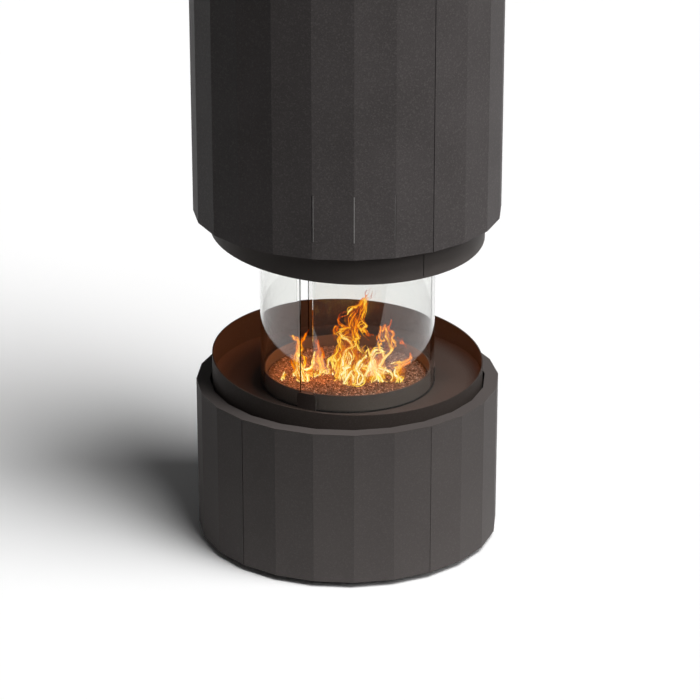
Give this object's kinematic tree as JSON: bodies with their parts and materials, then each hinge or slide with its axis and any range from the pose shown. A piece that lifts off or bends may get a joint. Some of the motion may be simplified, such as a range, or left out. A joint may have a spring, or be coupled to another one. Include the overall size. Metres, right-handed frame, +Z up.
{
  "type": "bioethanol fireplace",
  "caption": "Floor-standing faceted base with a slanted round fire dish, curved glass round the burner, and a faceted hood hung over it.",
  "frame": {"origin": "middle of the floor under the base, on the fireplace's axis", "axes": "+Z up, along the axis; -Y towards the lowest side of the slanted dish; +X to the right seen from there"},
  "size_m": [0.6, 0.6, 2.1],
  "materials": {
    "powder_coat_anthracite": "matt charcoal powder coat with fine sparkle",
    "satin_coat_graphite": "satin charcoal coat",
    "heat_coat_dark": "satin heat-proof coat",
    "stainless_steel": "brushed stainless steel",
    "zinc_steel": "zinc-plated sheet",
    "bright_fasteners": "bright zinc",
    "black_rubber": "matt",
    "black_plastic": "moulded, fine texture",
    "ferrite_magnet": "dull",
    "ceramic_fibre": "felted fibre",
    "ceramic_granulate": "rough baked grains",
    "brass_bush": "turned",
    "clear_glass": "clear, polished edges"
  },
  "bodies": {
    "root": {"base_casing": "powder_coat_anthracite", "base_top_flange": "powder_coat_anthracite", "base_plate": "zinc_steel", "levelling_feet": "black_plastic", "foot_nuts": "bright_fasteners", "support_posts": "zinc_steel", "post_bolts": "bright_fasteners", "dish_support_ring": "zinc_steel", "dish_pan": "satin_coat_graphite", "dish_ring": "satin_coat_graphite", "burner_ring": "heat_coat_dark", "fuel_tank": "stainless_steel", "tank_studs": "bright_fasteners", "filler_neck": "stainless_steel", "wick_pad": "ceramic_fibre", "tank_cover": "stainless_steel", "shaft_bush": "brass_bush", "granulate_grate": "stainless_steel", "granulate_bed": "ceramic_granulate", "glass_clips": "heat_coat_dark", "glass_seals": "black_rubber", "door_hinge_brackets": "zinc_steel", "door_hinge_pins": "bright_fasteners", "door_magnets": "ferrite_magnet", "glass_top_channel": "heat_coat_dark", "collar": "satin_coat_graphite", "collar_plate": "zinc_steel", "collar_seam_strip": "zinc_steel", "hood_base_plate": "powder_coat_anthracite", "hood_casing": "powder_coat_anthracite", "hood_seam_strip": "zinc_steel", "hood_tabs": "zinc_steel", "warm_air_duct": "stainless_steel", "hood_frame_rings": "zinc_steel", "hanger_ring": "zinc_steel", "top_plate": "powder_coat_anthracite", "hatch_hinge_brackets": "zinc_steel", "hatch_hinge_pin": "bright_fasteners", "hatch_magnet": "ferrite_magnet"},
    "base_door": {"base_door": "powder_coat_anthracite", "door_hinge_arms": "zinc_steel", "door_strikes": "bright_fasteners"},
    "filler_cap": {"filler_cap": "black_plastic", "cap_gasket": "black_rubber"},
    "regulator": {"regulator_disc": "stainless_steel", "regulator_shaft": "stainless_steel", "regulator_lever": "zinc_steel", "lever_knob": "black_plastic"},
    "glass_front": {"glass_panel_front": "clear_glass"},
    "glass_right": {"glass_panel_right": "clear_glass"},
    "glass_left": {"glass_panel_left": "clear_glass"},
    "hood_hatch": {"hood_hatch": "powder_coat_anthracite", "hatch_hinge_arms": "zinc_steel", "hatch_strike": "bright_fasteners"}
  },
  "joints": [
    {"name": "door_swing", "type": "hinge", "parent": "root", "child": "base_door", "pos_m": [-0.28223, -0.05071, 0.1655], "axis": [0, 0, -1], "range_deg": [0, 100]},
    {"name": "cap_turn", "type": "hinge", "parent": "root", "child": "filler_cap", "pos_m": [-0.18183, -0.10498, 0.2805], "axis": [-0.75, -0.433, 0.5], "range_deg": [-90, 0]},
    {"name": "flame_regulator", "type": "hinge", "parent": "root", "child": "regulator", "pos_m": [0, 0, 0.2145], "axis": [0, 0, 1], "range_deg": [-22.5, 0]},
    {"name": "front_glass_lift", "type": "slide", "parent": "root", "child": "glass_front", "axis": [0, 0, 1], "range_m": [0, 0.036]},
    {"name": "right_glass_lift", "type": "slide", "parent": "root", "child": "glass_right", "axis": [0, 0, 1], "range_m": [0, 0.036]},
    {"name": "left_glass_lift", "type": "slide", "parent": "root", "child": "glass_left", "axis": [0, 0, 1], "range_m": [0, 0.036]},
    {"name": "hatch_swing", "type": "hinge", "parent": "root", "child": "hood_hatch", "pos_m": [-0.2178, -0.18996, 0.7545], "axis": [0, 0, -1], "range_deg": [0, 95]}
  ]
}
